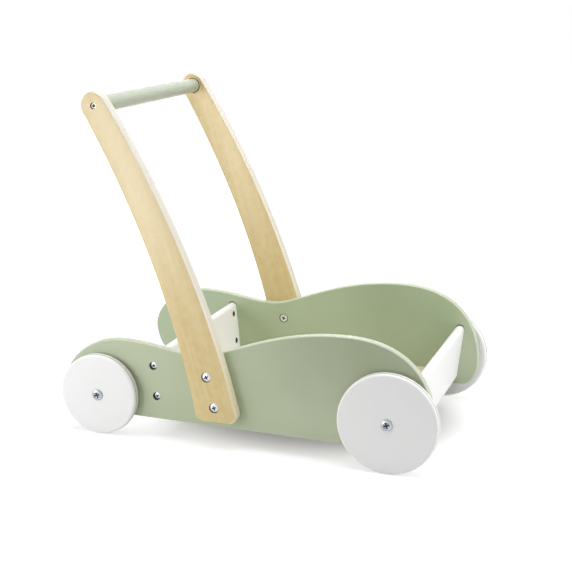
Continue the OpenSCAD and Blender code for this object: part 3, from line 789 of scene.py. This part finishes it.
def drill(piece, bore_shade, x, z, steps):
    """Drills along Y with a stepped bit, given as (radius, y) pairs from the inside out. The bit's
    painted shade stays on the walls.
    """
    start = steps[0][1]
    bit = coat(turned("bit", [(r, y - start) for r, y in steps]), bore_shade)
    close_up(bit)
    carve(piece, face_out(bit, x, start, z))


def cross_point(end, h):
    """Where the middle plane of a cross panel is, at a height h along the panel."""
    x, lean = CROSS_PANELS[end]
    return x + h * math.sin(lean), CROSS_MID_Z + h * math.cos(lean)


head_seat, shoulder_seat = OUTER_Y - PANEL_HEAD_SINK, OUTER_Y - SHOULDER_END
nut_seat, sleeve_seat = INNER_Y + WHEEL_NUT_SINK, INNER_Y + SLEEVE_HEAD_SINK
for end in CROSS_PANELS:
    for h in CROSS_BOLTS:
        drill(side_panel, SHADED_BOARD_BORE, *cross_point(end, h), [
            (BOLT_HOLE_R, INNER_Y - OVER), (BOLT_HOLE_R, head_seat),
            (PANEL_HEAD_HOLE_R, head_seat), *outer_mouth(PANEL_HEAD_HOLE_R, OUTER_Y),
        ])
    drill(side_panel, SHADED_BOARD_BORE, *AXLES[end], [
        *inner_mouth(WHEEL_NUT_HOLE_R, INNER_Y), (WHEEL_NUT_HOLE_R, nut_seat),
        (SHOULDER_HOLE_R, nut_seat), (SHOULDER_HOLE_R, shoulder_seat),
        (BOLT_HOLE_R, shoulder_seat), (BOLT_HOLE_R, OUTER_Y + OVER),
    ])
for x, z in ARM_BOLTS:
    drill(side_panel, SHADED_BOARD_BORE, x, z, [
        *inner_mouth(SLEEVE_HEAD_HOLE_R, INNER_Y), (SLEEVE_HEAD_HOLE_R, sleeve_seat),
        (SLEEVE_HOLE_R, sleeve_seat), (SLEEVE_HOLE_R, OUTER_Y + OVER),
    ])
close_up(side_panel)
other_panel = mirrored(side_panel, "side_panel_right_sawn")
fit(side_panel, "sage_paint", "side_panel_left")
fit(other_panel, "sage_paint", "side_panel_right")
print("side panels:", len(side_panel.data.polygons), "faces each")

# %% [markdown]
# An arm is a board with a bend of large radius that tapers from its square foot to a round
# end. Its two long sides are almost circular arcs, so one Bezier span with handles of a
# third of the length follows each. The foot corners and the round end are arcs too.

# %% Arm outline
ARM_FOOT, HANDLE = Vector((-31.0, 37.0)), Vector((-194.0, 430.5))
ARM_FOOT_W, ARM_TIP_W, ARM_BEND = 57.0, 35.0, 1290.0
ARM_CORNER_BACK, ARM_CORNER_FRONT = 10.0, 12.0

reach = HANDLE - ARM_FOOT
half_sweep = math.asin(reach.length / (2 * ARM_BEND))
foot_lean = math.atan2(-reach.x, reach.y) - half_sweep
arm_length = ARM_BEND * 2 * half_sweep
taper = (ARM_TIP_W - ARM_FOOT_W) / 2 / arm_length


def heading(lean):
    """Unit vectors along and across the arm where it leans back by an angle."""
    return Vector((-math.sin(lean), math.cos(lean))), Vector((math.cos(lean), math.sin(lean)))


def arm_edge(along, face):
    """A point on the front (1) or back (-1) edge of the arm, and the edge's direction there."""
    lean = foot_lean + along / ARM_BEND
    ahead, outward = heading(lean)
    middle = ARM_FOOT + ARM_BEND * (outward - heading(foot_lean)[1])
    half = ARM_FOOT_W / 2 + taper * along
    slope = ahead * (1 + face * half / ARM_BEND) + outward * face * taper
    return middle + outward * face * half, slope.normalized()


def foot_fillet(face, radius):
    """Ends of the arc at a foot corner, on the level foot and on the side, and its handle."""
    level = Vector((face, 0.0))
    edge, rising = arm_edge(0.0, face)
    corner = edge + rising * ((ARM_FOOT.y - edge.y) / rising.y)
    opening = (-level).angle(rising)
    run = radius / math.tan(opening / 2)
    handle = 4 / 3 * math.tan((math.pi - opening) / 4) * radius
    return corner - level * run, corner + rising * run, rising, level * handle, rising * handle


front_foot, front_side, front_rise, front_level, front_pull = foot_fillet(1, ARM_CORNER_FRONT)
back_foot, back_side, back_rise, back_level, back_pull = foot_fillet(-1, ARM_CORNER_BACK)
front_top, front_end = arm_edge(arm_length, 1)
back_top, back_end = arm_edge(arm_length, -1)
tip_ahead, tip_out = heading(foot_lean + 2 * half_sweep)
tip_pull = ARM_TIP_W / 2 * 4 / 3 * math.tan(math.pi / 8)
crown = HANDLE + tip_ahead * ARM_TIP_W / 2
front_third, back_third = (front_top - front_side).length / 3, (back_top - back_side).length / 3
ARM_KNOTS = [
    (None, front_foot, front_foot + front_level),
    (front_side - front_pull, front_side, front_side + front_rise * front_third),
    (front_top - front_end * front_third, front_top, front_top + tip_ahead * tip_pull),
    (crown + tip_out * tip_pull, crown, crown - tip_out * tip_pull),
    (back_top + tip_ahead * tip_pull, back_top, back_top - back_end * back_third),
    (back_side + back_rise * back_third, back_side, back_side - back_pull),
    (back_foot + back_level, back_foot, None),
]
print("arm:", round(arm_length, 1), "mm along its middle line")

# %% [markdown]
# An arm has stepped holes for its two bolts, a blind hole for the end of the grip bar and a
# sunk hole for the screw that holds it. Like the side panel it is sawn as a plate, drilled
# with turned bits, and mirrored for the other side.

# %% Arms
ARM_T, ARM_RIM, ARM_OUTER_Y = 15.0, 3.0, 160.0
ARM_HEAD_HOLE_R, ARM_HEAD_SINK = 6.2, 3.0
GRIP_HOLE_R, GRIP_SINK = 10.7, 5.0
SCREW_HOLE_R, SCREW_HEAD_HOLE_R, SCREW_HEAD_SINK = 2.7, 4.1, 3.8

arm = sawn_plate("arm_left_sawn", BIRCH, ARM_KNOTS, ARM_T, ARM_RIM, ARM_OUTER_Y)
arm_seat, screw_seat = ARM_OUTER_Y - ARM_HEAD_SINK, ARM_OUTER_Y - SCREW_HEAD_SINK
for x, z in ARM_BOLTS:
    drill(arm, SHADED_BIRCH_BORE, x, z, [
        (SLEEVE_HOLE_R, OUTER_Y - OVER), (SLEEVE_HOLE_R, arm_seat),
        (ARM_HEAD_HOLE_R, arm_seat), *outer_mouth(ARM_HEAD_HOLE_R, ARM_OUTER_Y),
    ])
drill(arm, SHADED_BIRCH_BORE, *HANDLE, [
    *inner_mouth(GRIP_HOLE_R, OUTER_Y), (GRIP_HOLE_R, OUTER_Y + GRIP_SINK),
    (SCREW_HOLE_R, OUTER_Y + GRIP_SINK), (SCREW_HOLE_R, screw_seat),
    (SCREW_HEAD_HOLE_R, screw_seat), (SCREW_HEAD_HOLE_R, ARM_OUTER_Y + OVER),
])
close_up(arm)
other_arm = mirrored(arm, "arm_right_sawn")
fit(arm, "birch", "arm_left")
fit(other_arm, "birch", "arm_right")
arm_low, arm_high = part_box("arm_left")
for kind, size in (("sawn", arm.dimensions), ("CAD", arm_high - arm_low)):
    print("arm,", kind, [round(v / MM, 2) for v in size])

# %% [markdown]
# Screws carry much of the sharpness of a close view. Each kind is turned once from a disc,
# extruded ring by ring, and its driver recess is carved by tapered blades, whose near-black
# finish stays in the recess as a painted shade. A plain disc with a dark cross painted on would
# be quicker, but would look flat from the side. Each copy is turned a little further, because
# bolts that were driven by hand don't line up.

# %% Cross-headed bolts
FIRST_TURN, NEXT_TURN = math.radians(12.0), math.radians(7.0)
BOLT_R, BOLT_TIP, HEAD_EASE = 3.0, 0.5, 0.15
BLADE_TAPER = (0.5, 0.62, 1.0)


def dome(radius, rim, height, rings=9):
    """Rings of a low domed head: a short upright rim, then a cap."""
    rise = height - rim
    ball = (radius * radius + rise * rise) / (2 * rise)
    radii = [radius * math.sin(math.pi / 2 * (1 - i / rings)) for i in range(rings)]
    cap = [(r, height - ball + math.sqrt(ball**2 - r**2)) for r in radii]
    return [(radius - HEAD_EASE, 0.0), (radius, HEAD_EASE)] + cap


def shank(length, radius=BOLT_R, tip=BOLT_TIP):
    """Rings of a plain shank below a head, from its eased tip up."""
    return [(radius - tip, -length), (radius, tip - length), (radius, 0.0)]


def blade(span, width, depth, top, angle, inside):
    """One wing pair of a cross recess: a block that narrows towards its foot. Its finish stays in
    the recess as a painted shade.
    """
    piece = block((-span / 2, -width / 2, top - depth), (span / 2, width / 2, top + OVER))
    pick_edges(piece, lambda a, b: level_at(top - depth, a, b))
    bpy.ops.transform.resize(value=BLADE_TAPER, center_override=(0, 0, (top - depth) * MM))
    bpy.ops.object.mode_set(mode="OBJECT")
    settle(piece, (0, 0, 0), (0, 0, angle))
    return coat(piece, inside)


def cross_headed(name, rings, radius, rim, height, recess):
    """A bolt along Z. Its shank is a list of rings, its recess has a span, width and depth."""
    piece = coat(turned(name, rings + dome(radius, rim, height)), ZINC)
    close_up(piece)
    for angle in (0.0, math.pi / 2):
        carve(piece, blade(*recess, height, angle, SHADED_RECESS))
    close_up(piece)
    return piece


def set_out(model, kind, places, stands_for):
    """Copies a piece made about Z to places (name, x, y, z), each with its own mesh and turn."""
    for count, (where, x, y, z) in enumerate(places):
        piece = copied(model, f"{kind}_{where}")
        settle(piece, (0, 0, 0), (0, 0, FIRST_TURN + count * NEXT_TURN))
        face_out(piece, x, y, z)
        close_up(piece)
        fit(piece, "zinc", stands_for)
    print(kind, "set out", len(places), "times")


def both_sides(spots, y):
    """Places for set_out on the left and right side, from named spots in x and z."""
    return [
        (f"{side}_{where}", x, sign * y, z)
        for side, sign in (("left", 1), ("right", -1)) for where, (x, z) in spots.items()
    ]


print("bolt helpers ready")

# %% [markdown]
# The heads of the arm bolts end almost level with the wood. Those of the bolts that hold the
# cross panels are smaller and lie deeper in their holes. One model of each kind does for all.

# %% Arm and panel bolts
arm_spots = {"low": ARM_BOLTS[0], "high": ARM_BOLTS[1]}
arm_bolt = cross_headed(
    "arm_bolt", shank(length=20.3), radius=5.8, rim=1.7, height=2.7, recess=(7.6, 2.0, 1.8)
)
set_out(arm_bolt, "arm_bolt", both_sides(arm_spots, arm_seat), "arm_bolts")
panel_bolt = cross_headed(
    "panel_bolt", shank(length=25.2), radius=4.6, rim=2.2, height=2.9, recess=(6.3, 1.7, 1.6)
)
for end in CROSS_PANELS:
    spots = {where: cross_point(end, h) for where, h in zip(("low", "high"), CROSS_BOLTS)}
    set_out(panel_bolt, f"{end}_panel_bolt", both_sides(spots, head_seat), f"{end}_panel_bolts")

# %% [markdown]
# A wheel turns on a shoulder bolt, which is thicker next to its head. The wide dome is dished
# round its cross. The dish could be rings of the turned head, but cut by a second turned piece
# it takes over that piece's darker finish, a painted shade in the dish.

# %% Wheel bolts
SHOULDER_R, SHOULDER_L, WHEEL_HEAD_Y = 4.0, 15.7, 160.7
# Rings of the dish, from its floor up past the dome.
DISH = [(3.2, 1.5), (4.2, 2.2), (5.4, 3.9)]

shoulder = [(BOLT_R, -SHOULDER_L), (SHOULDER_R, -SHOULDER_L), (SHOULDER_R, 0.0)]
wheel_bolt = cross_headed(
    "wheel_bolt", shank(length=27.7)[:-1] + shoulder,
    radius=7.25, rim=0.8, height=3.5, recess=(10.8, 3.0, 2.8),
)
dish = coat(turned("dish", DISH), SHADED_DISH)
close_up(dish)
carve(wheel_bolt, dish)
close_up(wheel_bolt)
for end, axle in AXLES.items():
    hubs = both_sides({"hub": axle}, WHEEL_HEAD_Y)
    set_out(wheel_bolt, f"{end}_wheel_bolt", hubs, f"{end}_wheel_bolts")

# %% [markdown]
# Inside the cart the arm bolts end in sleeve nuts, whose flat heads lie level with the panel.
# They are turned like the bolts, but their heads look inwards, so the blades that cut their
# crosses are turned over first.

# %% Sleeve nuts
SLEEVE_R, SLEEVE_L, SLEEVE_HEAD_R, SLEEVE_EASE = 4.0, 18.0, 5.6, 0.4

sleeve_nut = coat(turned("sleeve_nut", [
    (SLEEVE_HEAD_R - SLEEVE_EASE, 0.0), (SLEEVE_HEAD_R, SLEEVE_EASE),
    (SLEEVE_HEAD_R, SLEEVE_HEAD_SINK), (SLEEVE_R, SLEEVE_HEAD_SINK),
    (SLEEVE_R, SLEEVE_L - SLEEVE_EASE), (SLEEVE_R - SLEEVE_EASE, SLEEVE_L),
]), SOFT_ZINC)
close_up(sleeve_nut)
for angle in (0.0, math.pi / 2):
    wing = blade(span=7.2, width=1.8, depth=1.3, top=0.0, angle=angle, inside=SHADED_RECESS)
    settle(wing, (0, 0, 0), (math.pi, 0, 0))
    carve(sleeve_nut, wing)
close_up(sleeve_nut)
set_out(sleeve_nut, "sleeve_nut", both_sides(arm_spots, INNER_Y), "arm_sleeve_nuts")

# %% [markdown]
# The grip bar is held by small screws with a hexagon socket. The socket needs no helper of its
# own: a piece that is turned in six steps has six sides. It widens a little at its mouth. The
# models of all bolts, nuts and screws have then been copied to their places, and are removed.

# %% Handle screws
SCREW_R, SCREW_L, SCREW_TIP, SCREW_HEAD_R = 2.5, 24.0, 0.4, 3.75
SCREW_RIM, SCREW_TOP_R, SCREW_HEAD_H = 1.2, 3.3, 1.7
SOCKET_R, SOCKET_FOOT, SOCKET_FLARE = 2.1, 0.3, 1.45
SOCKET_MOUTH_R, SOCKET_MOUTH, SOCKET_TOP = 2.5, 1.85, 2.2

handle_screw = coat(turned("handle_screw", shank(SCREW_L, SCREW_R, SCREW_TIP) + [
    (SCREW_HEAD_R - HEAD_EASE, 0.0), (SCREW_HEAD_R, HEAD_EASE),
    (SCREW_HEAD_R, SCREW_RIM), (SCREW_TOP_R, SCREW_HEAD_H),
]), STEEL)
close_up(handle_screw)
# The socket's near-black finish stays in the hexagon socket as a painted shade.
socket = coat(turned("socket", [
    (SOCKET_R, SOCKET_FOOT), (SOCKET_R, SOCKET_FLARE),
    (SOCKET_MOUTH_R, SOCKET_MOUTH), (SOCKET_MOUTH_R, SOCKET_TOP),
], steps=6), SHADED_RECESS)
close_up(socket)
carve(handle_screw, socket)
close_up(handle_screw)
set_out(handle_screw, "handle_screw", both_sides({"grip": HANDLE}, screw_seat), "handle_screws")
for model in (arm_bolt, panel_bolt, wheel_bolt, sleeve_nut, handle_screw):
    bpy.data.objects.remove(model)

# %% [markdown]
# The cart stands on a plain pale floor. More light would make it white, but would also bleach
# the cart. So the floor glows a little by itself, for the camera and for reflections only. The
# glow is weakest in a tilted oval under the cart: a painted shadow there, which deepens and
# shapes the cart's own shadow.

# %% Floor
FLOOR_SIZE, FLOOR_ROUGH = 14.0, 0.9
# The tilted oval under the cart where the glow is weakest: a painted shadow.
UNDER_TURN, UNDER_STRETCH = (0.0, 0.0, math.radians(-9.0)), (0.6, 0.97, 1.0)
UNDER_AT, UNDER_REACH = (-0.03, 0.0, 0.0), (0.085, 0.155)
PAINTED_SHADOW_GLOW, FLOOR_LIFT, FLOOR_FADE = 0.25, 0.63, (0.4, 1.1)
FLOOR_PAINT, FLOOR_SEEN = srgb("F6F6F6"), srgb("C4C4C4")
BLACK, PURE_WHITE = (0, 0, 0, 1), (1, 1, 1, 1)

bpy.ops.object.select_all(action="DESELECT")
bpy.ops.mesh.primitive_plane_add(size=FLOOR_SIZE)
floor = bpy.context.object
floor.name = "studio_floor"
ground = Finish("studio_floor")
under = ground.place(UNDER_TURN, UNDER_STRETCH)
around = ground.add("ShaderNodeMapping", {}, {"Vector": under, "Location": UNDER_AT})
near, away = (
    ground.add("ShaderNodeVectorMath", {"operation": "LENGTH"}, {"Vector": at}, "Value")
    for at in (around, ground.place())
)
# Weakest glow in the oval under the cart, a painted shadow; full glow further out.
lift = ground.span(near, *UNDER_REACH, PAINTED_SHADOW_GLOW, FLOOR_LIFT)
lift = lift + ground.span(away, *FLOOR_FADE, 0.0, 1 - FLOOR_LIFT)
seen = ground.seen_by("Camera", "Glossy")
tone = ground.blend(seen, FLOOR_PAINT, FLOOR_SEEN)
ground.finish(
    tone, FLOOR_ROUGH, constants={"Specular IOR Level": 0.0, "Emission Strength": 1.0}
)
glow = ground.blend(seen * lift, BLACK, PURE_WHITE)
feed(ground.tree, ground.shader.inputs["Emission Color"], glow)
floor.data.materials.append(ground.material)
print("floor:", FLOOR_SIZE, "m wide")

# %% [markdown]
# Behind the floor the world is white in the picture and in reflections, but it hardly lights
# the cart. That is left to the lamps, which can be aimed.

# %% Surround
SURROUND = 0.02

world = bpy.data.worlds.new("surround")
bpy.context.scene.world = world
world.use_nodes = True
sky = Graph(world.node_tree)
shown = sky.seen_by("Camera", "Glossy", "Transmission")
backdrop = sky.tree.nodes["Background"]
backdrop.inputs["Color"].default_value = PURE_WHITE
feed(sky.tree, backdrop.inputs["Strength"], SURROUND + shown * (1 - SURROUND))
print("surround: lights at", SURROUND, "of what it shows")

# %% [markdown]
# Point lamps would throw hard shadows, so all lamps are softboxes: a broad one overhead, one
# at the left of the picture that falls off along the cart, a strip near the floor whose
# reflection veils the lacquered arm, two at the front and one behind.

# %% Softboxes
# Each softbox: place, aim, width and height in metres, power in watts.
SOFTBOXES = {
    "overhead": ((0.0, 0.0, 1.8), (0.0, 0.0, 0.0), (1.6, 1.6), 28.5),
    "left_side": ((-0.95, -0.65, 0.5), (-0.1, -0.1, 0.15), (0.7, 0.7), 3.8),
    "low_strip": ((-0.53, -0.93, 0.23), (-0.14, -0.16, 0.33), (0.22, 0.42), 2.1),
    "front": ((1.1, -0.08, 0.5), (0.15, 0.0, 0.1), (0.3, 0.6), 3.4),
    "front_right": ((1.4, -0.2, 0.9), (0.1, 0.0, 0.1), (1.1, 1.1), 5.0),
    "back": ((-0.2, 1.5, 0.7), (0.0, 0.1, 0.1), (1.2, 1.0), 6.5),
}
for name, (at, aim, size, power) in SOFTBOXES.items():
    light = bpy.data.lights.new(name, "AREA")
    light.shape, light.energy = "RECTANGLE", power
    light.size, light.size_y = size
    softbox = bpy.data.objects.new(name, light)
    bpy.context.scene.collection.objects.link(softbox)
    softbox.location = at
    softbox.rotation_euler = (Vector(aim) - Vector(at)).to_track_quat("-Z", "Y").to_euler()
print("softboxes:", list(SOFTBOXES))
